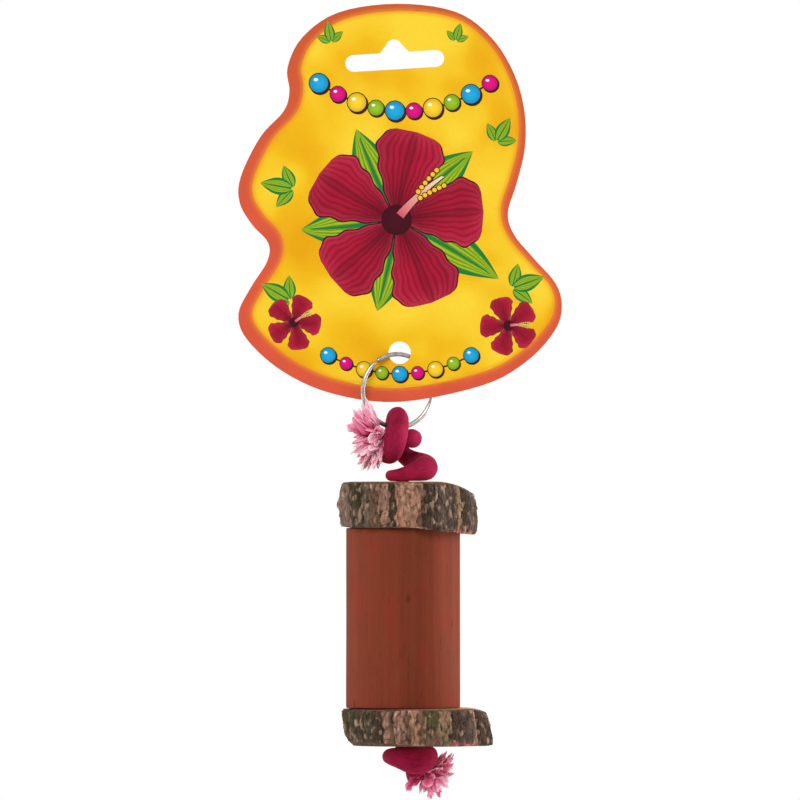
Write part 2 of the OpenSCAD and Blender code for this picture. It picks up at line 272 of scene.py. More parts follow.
def print_material():
    """Glossy laminated print. Colours come from the mesh, veins from the petals' own directions."""
    s = Shader("printed_face")
    place = s.place()
    ink = s.attribute("ink", "Color")
    fan = s.add("UVMap", {}, uv_map="fan")
    wave = {"Vector": fan, "Scale": 1.6, "Distortion": 3.5, "Detail": 4, "Detail Scale": 1.8}
    vein = s.maths("MULTIPLY", s.span(s.add("TexWave", wave), 0.35, 1), s.attribute("vein"))
    veined = s.mix(vein, ink, s.times(ink, srgb(150, 96, 110)))
    dots = s.noise(place, 0.35, 2, 0.7)
    film = s.noise(place, 1.4, 2, 0.5)
    wear = s.noise(place, 22)
    colour = s.times(veined, s.ramp(dots, (0.3, 0.93), (0.7, 1.0)))
    return s.finish(colour, s.span(wear, 0.3, 0.7, 0.24, 0.36), 0.1, (film, 0.02, 0.5))


def board_material():
    """Uncoated grey-white board: the card's back and its cut edges."""
    s = Shader("board")
    place = s.place()
    fibre = s.noise(s.stretch(place, (1, 1, 0.35)), 0.6, 4, 0.7)
    cloud = s.noise(place, 14, 2)
    tone = s.ramp(fibre, (0.25, srgb(206, 202, 194)), (0.75, srgb(240, 238, 232)))
    colour = s.mix(s.span(cloud, 0.3, 0.8, 0, 0.3), tone, srgb(222, 216, 204))
    return s.finish(colour, 0.82, 0.2, (fibre, 0.04, 0.6))


def wire_material():
    """Plated steel wire with a soft tarnish."""
    s = Shader("plated_wire")
    place = s.place()
    wear = s.noise(place, 2.2, 3, 0.6)
    dents = s.noise(place, 0.8, 2)
    colour = s.ramp(wear, (0.3, srgb(140, 133, 127)), (0.65, srgb(180, 173, 166)))
    return s.finish(colour, s.span(wear, 0.3, 0.75, 0.26, 0.4), 0.5, (dents, 0.015, 0.5), metallic=1.0)


def rope_material():
    """Soft brushed cotton: fine fibres along the rope, a mottled dye, painted shade in its dents and a little
    velvet sheen.
    """
    s = Shader("crimson_cotton")
    lay = s.attribute("lay", "Vector")
    fibre = s.noise(s.stretch(lay, (1, 1, 0.22)), 0.26, 3, 0.65)
    pile = s.noise(s.stretch(lay, (1, 1, 0.6)), 0.8, 3, 0.6)
    dye = s.noise(s.stretch(lay, (1, 1, 0.6)), 6)
    colour = s.ramp(dye, (0.3, srgb(122, 10, 44)), (0.5, srgb(142, 18, 56)), (0.72, srgb(160, 28, 66)))
    fuzzy = s.mix(s.span(fibre, 0.45, 0.8, 0, 0.16), colour, srgb(214, 84, 122))
    # Painted shade: where the rope dips in a dent, its colour is darkened towards deep crimson
    shaded = s.mix(s.span(s.attribute("dent_shade"), 0, 1, 0, 0.6), fuzzy, srgb(84, 4, 24))
    return s.finish(shaded, 0.92, 0.08, (s.mix(0.5, fibre, pile), 0.16, 0.5),
        sheen_weight=0.14, sheen_roughness=0.4, sheen_tint=srgb(255, 120, 160))


def fibre_material():
    s = Shader("loose_fibre")
    fleck = s.ramp(s.noise(s.place(), 0.5, 2), (0.3, 0.86), (0.7, 1.0))
    return s.finish(s.times(s.attribute("tint", "Color"), fleck), 0.9, 0.05,
        sheen_weight=0.35, sheen_roughness=0.5, sheen_tint=srgb(255, 176, 200))


def bark_material():
    """Weathered bark: strips and flakes come from the mesh, fine fibres and specks from here."""
    s = Shader("bark")
    place = s.place()
    speck = s.noise(place, 0.5, 3, 0.7)
    streak = s.noise(s.stretch(place, (1, 1, 0.2)), 0.45, 3, 0.6)
    worn = s.times(s.attribute("tint", "Color"), s.ramp(speck, (0.3, 0.66), (0.52, 0.94), (0.72, 1.0)))
    colour = s.times(worn, s.ramp(streak, (0.3, 0.72), (0.6, 1.0)))
    return s.finish(colour, 0.93, 0.12, (s.mix(0.5, streak, speck), 0.3, 0.8))


def cut_bark_material():
    """The bark's sawn rims: layered, and rough from the saw."""
    s = Shader("sawn_bark")
    place = s.place()
    layer = s.noise(place, 1.2, 4, 0.65)
    saw = s.noise(s.stretch(place, (0.15, 1, 1)), 0.4, 2)
    colour = s.ramp(layer, (0.3, srgb(64, 49, 40)), (0.55, srgb(98, 76, 62)), (0.75, srgb(134, 106, 88)))
    return s.finish(colour, 0.9, 0.12, (s.mix(0.5, layer, saw), 0.2, 0.7))


def end_grain_material(name, pith):
    """Sawn end grain with growth rings round the pith, and a pink stain from the dyed rope."""
    s = Shader(name)
    place = s.place()
    from_pith = s.stretch(place, (1, 1, 0), (-pith[0], -pith[1], 0))
    reach = s.add("VectorMath", {0: from_pith}, "Value", operation="LENGTH")
    wobble = s.maths("MULTIPLY", s.noise(place, 9, 2), 2.2)
    year = s.maths("FRACT", s.maths("ADD", s.maths("DIVIDE", reach, growth_ring), wobble))
    fine = s.noise(s.stretch(place, (1, 1, 0.3)), 0.5, 3, 0.7)
    wood = s.ramp(year, (0.0, srgb(222, 186, 144)), (0.6, srgb(212, 170, 124)), (0.9, srgb(178, 124, 82)),
        (1.0, srgb(206, 164, 120)))
    grained = s.times(wood, s.ramp(fine, (0.3, 0.8), (0.7, 1.0)))
    patch = s.span(s.noise(place, 10), 0.42, 0.62)
    stain = s.maths("MULTIPLY", patch, s.span(reach, 6 * MM, 20 * MM, 0.75, 0.35))
    colour = s.mix(stain, grained, srgb(206, 112, 104))
    return s.finish(colour, 0.8, 0.2, (s.mix(0.5, year, fine), 0.12, 0.6))


def stained_wood_material():
    """Turned wood under a matt terracotta stain, with painted shade on its front."""
    s = Shader("terracotta_stain")
    place = s.place()
    upright = s.stretch(place, (1, 1, 0.035))
    grain = s.noise(upright, 0.9, 4, 0.6)
    band = s.noise(upright, 5, 3, 0.5)
    blotch = s.noise(s.stretch(place, (1, 1, 0.5)), 12)
    red = s.noise(s.stretch(place, (1, 1, 0.4), (0.03, 0, 0)), 7)
    olive = s.noise(s.stretch(place, (1, 1, 0.4), (0, 0.05, 0)), 6)
    pore = s.noise(s.stretch(place, (1, 1, 0.12)), 0.5, 2, 0.5)
    cells = s.stretch(place, (1, 1, 0.6), (0, 0, 0.002))
    knot = s.add("TexVoronoi", {"Vector": cells, "Scale": 1 / (8 * MM)}, "Distance")
    colour = s.ramp(band, (0.3, srgb(110, 47, 30)), (0.55, srgb(119, 53, 34)), (0.75, srgb(129, 60, 40)))
    # Marks over the grain's bands: where each starts and is full, its full share, and its colour
    for mark, start, full, share, tint in (
            (blotch, 0.45, 0.7, 0.45, srgb(103, 43, 28)), (grain, 0.3, 0.75, 0.35, srgb(134, 63, 41)),
            (red, 0.5, 0.66, 0.4, srgb(134, 46, 34)), (olive, 0.52, 0.68, 0.35, srgb(112, 60, 34)),
            (pore, 0.36, 0.26, 0.45, srgb(78, 32, 22)), (knot, 0.13, 0.05, 0.5, srgb(78, 28, 18))):
        colour = s.mix(s.span(mark, start, full, 0, share), colour, tint)
    # Painted shade: the front, a little to the right of the middle, is darkened by up to a fifth
    x, y = (s.add("SeparateXYZ", {0: place}, axis) for axis in "XY")
    sides = s.maths("MULTIPLY", s.span(x, 1 * MM, 5.5 * MM), s.span(x, 14 * MM, 8 * MM))
    front_shade = s.maths("MULTIPLY", sides, s.span(y, 0, -8 * MM))
    colour = s.times(colour, s.ramp(front_shade, (0, 1.0), (1, 0.8)))
    return s.finish(colour, s.span(grain, 0.3, 0.7, 0.6, 0.75), 0.05, (s.mix(0.5, grain, pore), 0.09, 0.6))


# Meshes

layer_fields = {"FLOAT": "value", "FLOAT_VECTOR": "vector", "FLOAT_COLOR": "color"}


def make_piece(name, body, points, faces, materials, smooth=True):
    """A mesh object that rides on a CAD body, or on none yet."""
    mesh = bpy.data.meshes.new(name)
    mesh.from_pydata(np.reshape(points, (-1, 3)).tolist(), [], faces)
    for material in materials:
        mesh.materials.append(material)
    mesh.polygons.foreach_set("use_smooth", [smooth] * len(mesh.polygons))
    mesh.update()
    made = linked(name, mesh)
    if body:
        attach(made, body)
    return made


def give(made, name, kind, values, domain="POINT"):
    """Writes values into a new layer of the mesh, for its material to read."""
    layers = made.data.color_attributes if kind == "FLOAT_COLOR" else made.data.attributes
    layer = layers.new(name, kind, domain)
    layer.data.foreach_set(layer_fields[kind], np.asarray(values, np.float32).ravel())


def grid_faces(rows, columns, wrap_rows=False):
    """Quads of a grid of points whose columns close round."""
    last = rows if wrap_rows else rows - 1
    return [(r * columns + c, r * columns + (c + 1) % columns, (r + 1) % rows * columns + (c + 1) % columns,
        (r + 1) % rows * columns + c) for r in range(last) for c in range(columns)]


def tube_faces(rows, columns):
    """Faces of a tube that is closed at both ends."""
    last = (rows - 1) * columns
    ends = [tuple(range(columns))[::-1], tuple(range(last, last + columns))]
    return grid_faces(rows, columns) + ends


def tube_points(spots, side, over, reach, columns):
    """Points round a path, so far from it along its two rows of cross vectors."""
    cos, sin = (part[:, None] for part in circle(columns))
    return spots[:, None] + (cos * side[:, None] + sin * over[:, None]) * reach[..., None]


def open_edges(faces):
    """Edges that belong to one face only, in that face's direction."""
    edges = {}
    for face in faces:
        for a, b in zip(face, face[1:] + face[:1]):
            if edges.pop((b, a), None) is None:
                edges[a, b] = True
    return list(edges)


# Header card, in millimetres on its face: x to the right and z up from the peg seat

card_low, card_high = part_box("hang_card")
border = 3.4
ground_shift = np.array((1.1, 1.1))
print_step = 1.2
# Distances from the ground's edge at which its soft change of colour is followed
soft_steps = (-1.5, -1, -0.5, 0.5, 1, 1.5)

border_top = srgb(202, 88, 48)
border_bottom = srgb(218, 88, 60)
border_soft = srgb(230, 136, 42)
gold = srgb(243, 190, 22)
pale_gold = srgb(250, 212, 52)
deep_gold = srgb(233, 166, 8)
ground_edge = srgb(238, 152, 30)
crimson = srgb(176, 22, 54)
dark_crimson = srgb(104, 10, 34)
petal_edge = srgb(214, 64, 92)
maroon = srgb(66, 6, 24)
cream = srgb(246, 226, 196)
pollen = srgb(250, 196, 40)
leaf_green = srgb(20, 126, 58)
lime = srgb(152, 192, 34)
dark_line = srgb(58, 26, 18)
white = srgb(255, 250, 240)
bead_colours = [srgb(28, 166, 220), srgb(222, 12, 128), srgb(252, 206, 44), srgb(146, 190, 34)]


def front_loops(node):
    """Closed outlines of the node's face that looks towards -Y, the widest first."""
    mesh = frame["nodes"][node].data
    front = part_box(node)[0].y
    faces = []
    for face in mesh.polygons:
        corners = [mesh.vertices[v].co for v in face.vertices]
        if all(abs(c.y - front) < 0.01 * MM for c in corners):
            faces.append([(round(c.x / MM, 3), round(c.z / MM, 3)) for c in corners])
    follow = dict(sorted(open_edges(faces)))
    loops = []
    while follow:
        start, spot = follow.popitem()
        loop = [start]
        while spot != start:
            loop.append(spot)
            spot = follow.pop(spot)
        loops.append(np.array(loop))
    return sorted(loops, key=lambda loop: -np.ptp(loop[:, 0]))


def drawn_in(loop, distance):
    """The loop moved to its inside by the distance."""
    way = unit(np.roll(loop, -1, 0) - np.roll(loop, 1, 0))
    side = np.column_stack([-way[:, 1], way[:, 0]])
    area = np.sum(loop[:, 0] * np.roll(loop[:, 1], -1) - loop[:, 1] * np.roll(loop[:, 0], -1))
    return loop + side * distance * np.sign(area)


def inside(points, loop):
    """Which points lie inside the loop."""
    held = np.all((points > loop.min(0)) & (points < loop.max(0)), 1)
    after = np.roll(loop, -1, 0)
    x, z = points[held, :1], points[held, 1:]
    across = (loop[:, 1] > z) != (after[:, 1] > z)
    rise = np.where(after[:, 1] == loop[:, 1], 1, after[:, 1] - loop[:, 1])
    crossing = loop[:, 0] + (z - loop[:, 1]) * (after[:, 0] - loop[:, 0]) / rise
    held[held] = (across & (x < crossing)).sum(1) % 2 == 1
    return held


def edge_distance(points, loop):
    """How far each point lies from the nearest corner of a closely set loop."""
    return np.sqrt(((points[:, None] - loop) ** 2).sum(2).min(1))


def petal_shape(share):
    ruffle = 1 + 0.05 * np.sin(26 * share + 1)
    return share ** 0.8 * (1 - share ** 7) ** 0.5 * ruffle


def leaf_shape(share):
    return np.sin(np.pi * share ** 0.8) ** 0.9


def stem_shape(share):
    return 1 - 0.75 * share


class Blade:
    """A petal or leaf of the print: a bent midline, and a half width along it."""

    def __init__(self, root, lean, length, width, bend, shape, steps=24):
        share = np.linspace(0, 1, steps)
        heading = np.radians(lean + bend * share)
        self.length = length
        self.way = np.column_stack([np.sin(heading), np.cos(heading)])
        self.middle = np.array(root) + np.cumsum(self.way, 0) * length / steps
        self.side = np.column_stack([self.way[:, 1], -self.way[:, 0]])
        self.half = width / 2 * shape(share)

    def outline(self, share=1.0, grow=0.0):
        reach = self.side * (self.half * share + grow)[:, None]
        return np.vstack([(self.middle + reach)[1:], (self.middle - reach)[-2:0:-1]])

    def measure(self, points):
        """Shares along and across the blade: 0 to 1 from its root, and -1 to 1 from side to side."""
        offset = points[:, None] - self.middle
        nearest = np.argmin((offset ** 2).sum(2), 1)
        own = offset[np.arange(len(points)), nearest]
        along = nearest / (len(self.middle) - 1) + (own * self.way[nearest]).sum(1) / self.length
        across = (own * self.side[nearest]).sum(1) / np.maximum(self.half[nearest], 0.3)
        return np.clip(along, 0, 1), np.clip(across, -1, 1)


def edge_share(points, loop):
    """How much of the colour between border and ground shows: most on the loop, and none 2 mm from it."""
    return 0.8 * np.exp(-(edge_distance(points, loop) / 0.9) ** 2)


def border_ink(loop):
    """Terracotta, more orange towards the top and where it meets the ground."""
    def paint(points):
        flat = np.column_stack([points, np.zeros(len(points))])
        colour = blended(border_bottom, border_top, np.clip((points[:, 1] + 60) / 70, 0, 1))
        colour = colour * (1 + 0.07 * noises(flat, (9, 9, 1)))[:, None]
        return blended(colour, border_soft, edge_share(points, loop))
    return paint


def ground_ink(loop):
    """Gold with soft paler and deeper clouds, paler towards the top and towards the right, turning orange
    where it meets the border.
    """
    def paint(points):
        flat = np.column_stack([points, np.zeros(len(points))])
        cloud = noises(flat, (19, 19, 1)) + 0.4 * noises(flat + 40, (8, 8, 1))
        top = np.clip((points[:, 1] + 12) / 20, 0, 1)
        right = np.clip((points[:, 0] - 20) / 20, 0, 1)
        light = np.clip(1.2 * cloud + 0.2 + 0.8 * top + 0.3 * right, 0, 1)
        shade = np.clip(-1.4 * cloud - top, 0, 1)
        colour = blended(blended(gold, pale_gold, light), deep_gold, shade)
        return blended(colour, ground_edge, edge_share(points, loop))
    return paint


def petal_ink(blade):
    """Dark at the root, crimson, and paler along the edge, with a fold down the middle."""
    def paint(points):
        along, across = blade.measure(points)
        rim = np.clip((np.maximum(np.abs(across), along ** 2) - 0.5) / 0.5, 0, 1)
        colour = blended(dark_crimson, crimson, np.clip(along * 1.8, 0, 1))
        colour = blended(colour, petal_edge, 0.5 * rim ** 2)
        fold = 1 - 0.35 * np.exp(-(across / 0.18) ** 2) - 0.22 * np.clip(-across, 0, 1)
        return colour * fold[:, None]
    return paint


def round_ink(middle, radius, colour):
    """A bead's colour: full in the middle, deeper at its rim."""
    def paint(points):
        share = np.clip(np.linalg.norm(points - middle, axis=1) / radius, 0, 1)
        return colour * (1.1 - 0.42 * share ** 2)[:, None]
    return paint


def disc(middle, radius, squash=1.0, count=28):
    cos, sin = circle(count)
    return np.array(middle) + radius * np.column_stack([cos, squash * sin])


class Sheet:
    """Printed layers, lowest first: an outline, what paints it, and the blade that its veins follow."""

    def __init__(self):
        self.layers = []

    def draw(self, outline, ink, blade=None, vein=0.0):
        """A layer whose ink is one colour, or a function that gives each point its own."""
        paint = ink if callable(ink) else lambda points: np.tile(ink, (len(points), 1))
        self.layers.append((outline, paint, blade, vein))

    def leaf(self, root, lean, length, width, bend):
        blade = Blade(root, lean, length, width, bend, leaf_shape)
        rib = Blade(root, lean, length * 0.92, 0.12 * width, bend, stem_shape)
        self.draw(blade.outline(), leaf_green)
        self.draw(blade.outline(0.7), lime, blade, 0.7)
        self.draw(rib.outline(), leaf_green)

    def sprig(self, root, lean, length):
        """Three leaves on one root."""
        for turn, share in ((-52, 0.75), (52, 0.75), (0, 1)):
            self.leaf(root, lean + turn, length * share, length * share * 0.5, 0.15 * turn)

    def bloom(self, middle, lean, length):
        """A five-petalled bloom with a dark eye and a pale column of stamens."""
        middle = np.array(middle)
        for k in range(5):
            petal_length = length * (1 - 0.03 * (k % 2))
            petal = Blade(middle, lean + 72 * k, petal_length, length * 0.98, 9, petal_shape, 44)
            self.draw(petal.outline(grow=0.018 * length), maroon)
            self.draw(petal.outline(), petal_ink(petal), petal, 0.5)
        self.draw(disc(middle, 0.17 * length), round_ink(middle, 0.2 * length, maroon))
        column = Blade(middle, lean + 30, 0.72 * length, 0.1 * length, 18, stem_shape)
        self.draw(column.outline(grow=0.012 * length), maroon)
        self.draw(column.outline(), lambda points: blended(petal_edge, cream, column.measure(points)[0]))
        for k in range(12):
            step = 11 + k
            side = (-1) ** k * (0.03 + 0.006 * k) * length
            spot = column.middle[step] + column.side[step] * side
            self.draw(disc(spot, 0.036 * length, count=10), dark_line)
            self.draw(disc(spot, 0.026 * length, count=10), pollen)

    def bead(self, middle, radius, colour):
        shadow = np.array((0.14, -0.18)) * radius
        glint = np.array((-0.32, 0.36)) * radius
        self.draw(disc(middle + shadow, radius * 1.12), dark_line)
        self.draw(disc(middle, radius * 1.1), dark_line)
        self.draw(disc(middle, radius), round_ink(middle, radius, colour))
        self.draw(disc(middle + glint, radius * 0.24, 0.7, 12), white)

    def garland(self, left, right, top, sag, radius, count):
        """Beads on a cord that hangs in a curve between two points of one height."""
        def hung(x):
            share = 2 * (x - left) / (right - left) - 1
            return np.column_stack([x, top - sag * (1 - share ** 2)])
        line = hung(np.linspace(left, right, 50))
        half = np.array((0, 0.12 * radius))
        self.draw(np.vstack([line + half, (line - half)[::-1]]), dark_line)
        for k, spot in enumerate(hung(np.linspace(left, right, count))):
            self.bead(spot, radius * (1 - 0.18 * (k % 2)), bead_colours[k % 4])


def card_layers(outer, ground):
    """Everything printed on the card."""
    sheet = Sheet()
    sheet.draw(outer, border_ink(ground))
    sheet.draw(ground, ground_ink(ground))
    for lean, length in ((44, 33), (116, 38), (188, 30), (260, 31), (332, 32)):
        sheet.leaf((1, -58), lean, length, 14, 8)
    sheet.bloom((1, -58), 8, 29)
    sheet.sprig((-33, -84), -60, 11)
    sheet.sprig((38, -80), 70, 11)
    sheet.bloom((-32, -91), 20, 9)
    sheet.bloom((37, -92), 50, 9.5)
    sheet.sprig((-32, -48), -80, 11)
    sheet.sprig((33, -33), 30, 9)
    sheet.sprig((-20, -1), -10, 7)
    sheet.sprig((20, -0.5), 15, 6)
    sheet.garland(-24, 31, -14, 9, 3, 10)
    sheet.garland(-21, 25, -101.5, 6, 2.4, 9)
    return sheet.layers


def make_card():
    outer, *holes = front_loops("hang_card")
    ground = drawn_in(outer, border) + ground_shift
    layers = card_layers(outer, ground)
    points = []
    edges = []
    outlines = [outline for outline, *_ in layers]
    for loop in holes + outlines + [drawn_in(ground, step) for step in soft_steps]:
        first = len(points)
        points += [Vector(p) for p in loop]
        edges += [(first + k, first + (k + 1) % len(loop)) for k in range(len(loop))]
    # Points between the outlines, so that colours can change softly
    columns, rows = (np.arange(low, high, print_step) for low, high in zip(outer.min(0), outer.max(0)))
    grid = np.stack(np.meshgrid(columns, rows), -1).reshape(-1, 2)
    grid = grid[inside(grid, outer) & (edge_distance(grid, ground) > soft_steps[-1] + 0.3)]
    points += [Vector(p) for p in grid]
    spots, _, triangles, *_ = delaunay_2d_cdt(points, edges, [], 0, 1e-3)
    spots = np.array([tuple(p) for p in spots])
    triangles = np.array(triangles)
    middles = spots[triangles].mean(1)
    kept = inside(middles, outer)
    for hole in holes:
        kept &= ~inside(middles, hole)
    triangles, middles = triangles[kept], middles[kept]
    first, second, third = (spots[triangles[:, k]] for k in range(3))
    turned = np.cross(second - first, third - first) < 0
    triangles[turned] = triangles[turned][:, ::-1]
    count = len(spots)
    front = np.insert(spots * MM, 1, card_low.y, axis=1)
    back = front + (0, card_high.y - card_low.y, 0)
    sides = [(b, a, a + count, b + count) for a, b in open_edges(triangles.tolist())]
    faces = triangles.tolist() + (triangles[:, ::-1] + count).tolist() + sides
    materials = [print_material(), board_material()]
    made = make_piece("card", "card", np.vstack([front, back]), faces, materials, False)
    printed = len(triangles)
    made.data.polygons.foreach_set("material_index", [0] * printed + [1] * (len(faces) - printed))
    # What each corner of the printed triangles shows
    corners = len(made.data.loops)
    ink = np.ones((corners, 4))
    vein = np.zeros(corners)
    fan = np.zeros((corners, 2))
    shown = np.zeros(printed, int)
    for number, (outline, *_) in enumerate(layers):
        shown[inside(middles, outline)] = number
    for number, (_, paint, blade, strength) in enumerate(layers):
        own = np.repeat(shown == number, 3).nonzero()[0]
        if len(own):
            places = spots[triangles.ravel()[own]]
            ink[own] = paint(places)
            vein[own] = strength
            if blade:
                along, across = blade.measure(places)
                fan[own] = np.column_stack([across, along])
    give(made, "ink", "FLOAT_COLOR", ink, "CORNER")
    give(made, "vein", "FLOAT", vein, "CORNER")
    made.data.uv_layers.new(name="fan").data.foreach_set("uv", fan.astype(np.float32).ravel())
    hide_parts("hang_card")


# Wire ring

ring_foot = np.array(joints["toy_swing"]["pos_m"])
ring_right = unit(np.array(joints["toy_swing"]["axis"], float))
ring_back = np.array((-ring_right[1], ring_right[0], 0))
ring_d = 25 * MM
wire_d = 1.5 * MM
ring_r = (ring_d - wire_d) / 2
ring_gap = 0.7 * MM
gap_at = math.radians(128)
wire_sides = 24
ring_steps = 220


def make_ring():
    half_gap = math.asin(ring_gap / 2 / ring_r)
    turns = np.linspace(gap_at + half_gap, gap_at + 2 * math.pi - half_gap, ring_steps)
    out = np.cos(turns)[:, None] * ring_right + np.sin(turns)[:, None] * up
    # The ends are rounded over a few steps, and the wire is dented a little
    ends = np.minimum(np.arange(ring_steps), np.arange(ring_steps)[::-1])
    full = np.interp(ends, (0, 1, 3), (0.72, 0.95, 1.0))
    dent = 1 + 0.012 * np.sin(3 * turns) + 0.008 * np.sin(7 * turns + 1)
    reach = (wire_d / 2 * full * dent)[:, None]
    spots = ring_foot + ring_r * (up + out)
    points = tube_points(spots, out, np.broadcast_to(ring_back, out.shape), reach, wire_sides)
    made = make_piece("ring", "ring", points, tube_faces(ring_steps, wire_sides), [wire_material()])
    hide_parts("tag_ring")


# Rope: close to the CAD rope's route, in millimetres as (right, back, up, share of the rope's full radius)

rope_r = 3.25 * MM
rope_x = joints["block_spin"]["pos_m"][0]
lower_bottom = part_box("lower_slice_wood")[0].z
ring_clear = 0.3 * MM
rope_sides = 48
rope_steps = 20
stub = 0.8 * MM

hitch_end = [(-4.4, 0.4, -3.3, 0.82), (-2.2, 0.6, -3.5, 0.74), (1, 0.6, -3.7, 0.7), (4.2, 0.5, -3.7, 0.8),
    (5.8, 2.2, -3.6, 1), (8, 6.8, -3.6, 0.86), (7.9, 12.6, -4.1, 0.8), (3, 15.6, -5.4, 0.75),
    (-2, 12.6, -7, 0.72), (-2.8, 7, -8.6, 0.7), (-2.8, 1.7, -9.5, 0.7), (-3.4, -3.6, -9.3, 0.78),
    (-3.9, -7.6, -7.2, 1), (-3.8, -8.4, -3.6, 1.18), (-2.1, -6.1, -0.4, 1.1)]
loop_full = 0.85
loop_turns = np.radians((-50, -25, 0, 25, 50))
hitch_foot = [(0.6, 6.3, -1.5, 0.8), (1.9, 7.6, -5, 0.78), (4.4, 8.2, -8.4, 0.82), (7.6, 7.8, -10.7, 0.95),
    (10, 4.5, -11.8, 1.1), (10, 0, -12.8, 1.2), (8, -3.8, -13.4, 1.22), (4.5, -5.6, -14.05, 0.98),
    (0.8, -5.9, -15, 0.74), (-2.2, -5, -15.4, 0.6), (-3.2, -2.6, -15.6, 0.54), (-2.4, 0.2, -15.4, 0.52),
    (0.4, 0.8, -15.1, 0.5)]
bore_entry = [(0, 0, -17.2, 0.54), (0, 0, -20, 0.85), (0, 0, -24, 1)]
stopper = [(0, 0, 6, 1), (0, 0, 2.5, 1), (0.4, -0.2, -1, 0.82), (1, -0.6, -4, 0.62), (2.2, -1.6, -7, 0.56),
    (3.2, -0.8, -9.8, 0.56), (3.3, 3.2, -11.2, 0.56), (2.8, 7.8, -9.6, 0.6), (2.6, 10, -5.8, 0.64),
    (4.6, 9, -2.5, 0.66), (8.2, 5, -2.3, 0.66), (8.6, -0.6, -2.9, 0.86), (6.6, -6, -4.9, 1.42),
    (2.5, -8.8, -4.6, 1.36), (-1.8, -7.8, -3.6, 1.0), (-4.2, -3.8, -3.4, 0.82), (-4.6, 0.8, -3.6, 0.64),
    (-3, 4.6, -4.4, 0.6), (0.5, 5.2, -5, 0.58), (4, 4.7, -5.9, 0.58), (6.7, 3.4, -7.4, 0.66),
    (8.3, 1.4, -8.7, 0.82)]


def laid(points, middle, right, back):
    """Route points in the frame: (x, y, z, radius), in metres."""
    route = np.array(points, float)
    spots = middle + (route[:, :1] * right + route[:, 1:2] * back + route[:, 2:3] * up) * MM
    return np.column_stack([spots, route[:, 3] * rope_r])


def smooth_path(route, steps):
    """A smooth open curve along the route, drawn in a little at its bends."""
    q = np.vstack([2 * route[0] - route[1], route, 2 * route[-1] - route[-2]])
    t = np.arange(steps)[:, None] / steps
    weights = ((1 - t) ** 3, 3 * t ** 3 - 6 * t ** 2 + 4, 3 * t + 3 * t ** 2 - 3 * t ** 3 + 1, t ** 3)
    spans = [sum(q[i + k] * weights[k] for k in range(4)) / 6 for i in range(len(q) - 3)]
    return np.vstack([*spans, route[-1:]])


def rope_route():
    """The whole route: hitched over the wire, down through the bores, and tied in the stopper knot."""
    loop_r = (wire_d / 2 + ring_clear + loop_full * rope_r) / MM
    # The curve is drawn in at bends, so the loop's points lie a little outside it
    lay = loop_r * 6 / (4 + 2 * math.cos(loop_turns[1] - loop_turns[0]))
    loop = [(0, lay * math.sin(a), lay * math.cos(a), loop_full) for a in loop_turns]
    bore = np.array((rope_x, 0, ring_foot[2]))
    mouth = np.array((rope_x, 0, lower_bottom))
    return np.vstack([laid(hitch_end + loop + hitch_foot, ring_foot, ring_right, ring_back),
        laid(bore_entry, bore, plus_x, plus_y), laid(stopper, mouth, plus_x, plus_y)])


def end_ways(path):
    """Directions out of the path at its first and last points."""
    return unit(path[[0, -1], :3] - path[[1, -2], :3])


def cross_vectors(spots):
    """Two rows of vectors across a path, carried along it without twist."""
    way = unit(np.vstack([spots[1:2] - spots[:1], spots[2:] - spots[:-2], spots[-1:] - spots[-2:-1]]))
    side = np.zeros_like(way)
    carried = np.cross(way[0], (0.3, 0.2, 1.0))
    for i, w in enumerate(way):
        carried = unit(carried - (carried @ w) * w)
        side[i] = carried
    return side, np.cross(way, side)


def domed(path):
    """The path with both its ends rounded off past their last points."""
    turns = np.linspace(0, math.pi / 2, 8)[1:]
    head, tail = ([[*(end[:3] + stub * math.sin(a) * way), end[3] * max(math.cos(a), 0.04)] for a in turns]
        for end, way in zip(path[[0, -1]], end_ways(path)))
    return np.vstack([head[::-1], path, tail])


def make_rope(path):
    spots, radii = path[:, :3], path[:, 3:]
    steps = np.linalg.norm(np.diff(spots, axis=0), axis=1)
    distance = np.concatenate([[0], np.cumsum(steps)])[:, None]
    # Where each point lies on the rope laid out straight
    lay = np.stack(np.broadcast_arrays(*(rope_r * part for part in circle(rope_sides)), distance), -1)
    lump = noises(lay, 3.4 * MM)
    pile = noises(lay, (0.8 * MM, 0.8 * MM, 1.4 * MM))
    reach = radii * (1 + 0.035 * lump) + 0.04 * MM * pile
    points = tube_points(spots, *cross_vectors(spots), reach, rope_sides)
    faces = tube_faces(len(spots), rope_sides)
    made = make_piece("knotted_rope", "rope", points, faces, [rope_material()])
    give(made, "lay", "FLOAT_VECTOR", lay)
    # Painted shade for the material: how deep each point lies in a dent
    give(made, "dent_shade", "FLOAT", np.clip(-0.9 * lump, 0, 1))
    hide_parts("rope")


# Frayed ends: locks of fibre open out from each rope end as felted petals, with wisps and hairs on them

lock_count = 26
golden = math.radians(137.5)
fan_flat = 0.6
lock_rows = 16
petal_sides = 16
wisps_per_lock = 9
hairs_per_lock = 8
# Spread in degrees and length of the locks in each fan, and how pale the fibre is
upper_fan = (58, 11.5 * MM)
lower_fan = (59, 7.3 * MM)
upper_pale = 1.08
tuft_pale = 1.4
lower_pale = 0.95
# Ways that a lock's flat side may face, along x, y and z
facing_ranges = ((-0.8, 0.8), (-1.8, -0.4), (-0.8, 0.8))
# Turns of the toy on the wire through which its strands stay clear of the wire
swing_turns = np.radians(np.linspace(-60, 60, 49))
# With less than full room beside the wire a lock is slimmer, and with less than the least room a strand
# is left out
full_room = 1.7 * MM
least_room = 0.15 * MM
fibre_stops = (0, 0.3, 0.6, 1)
fibre_colours = np.array([srgb(152, 10, 54), srgb(212, 50, 106), srgb(242, 132, 168), srgb(253, 212, 223)])

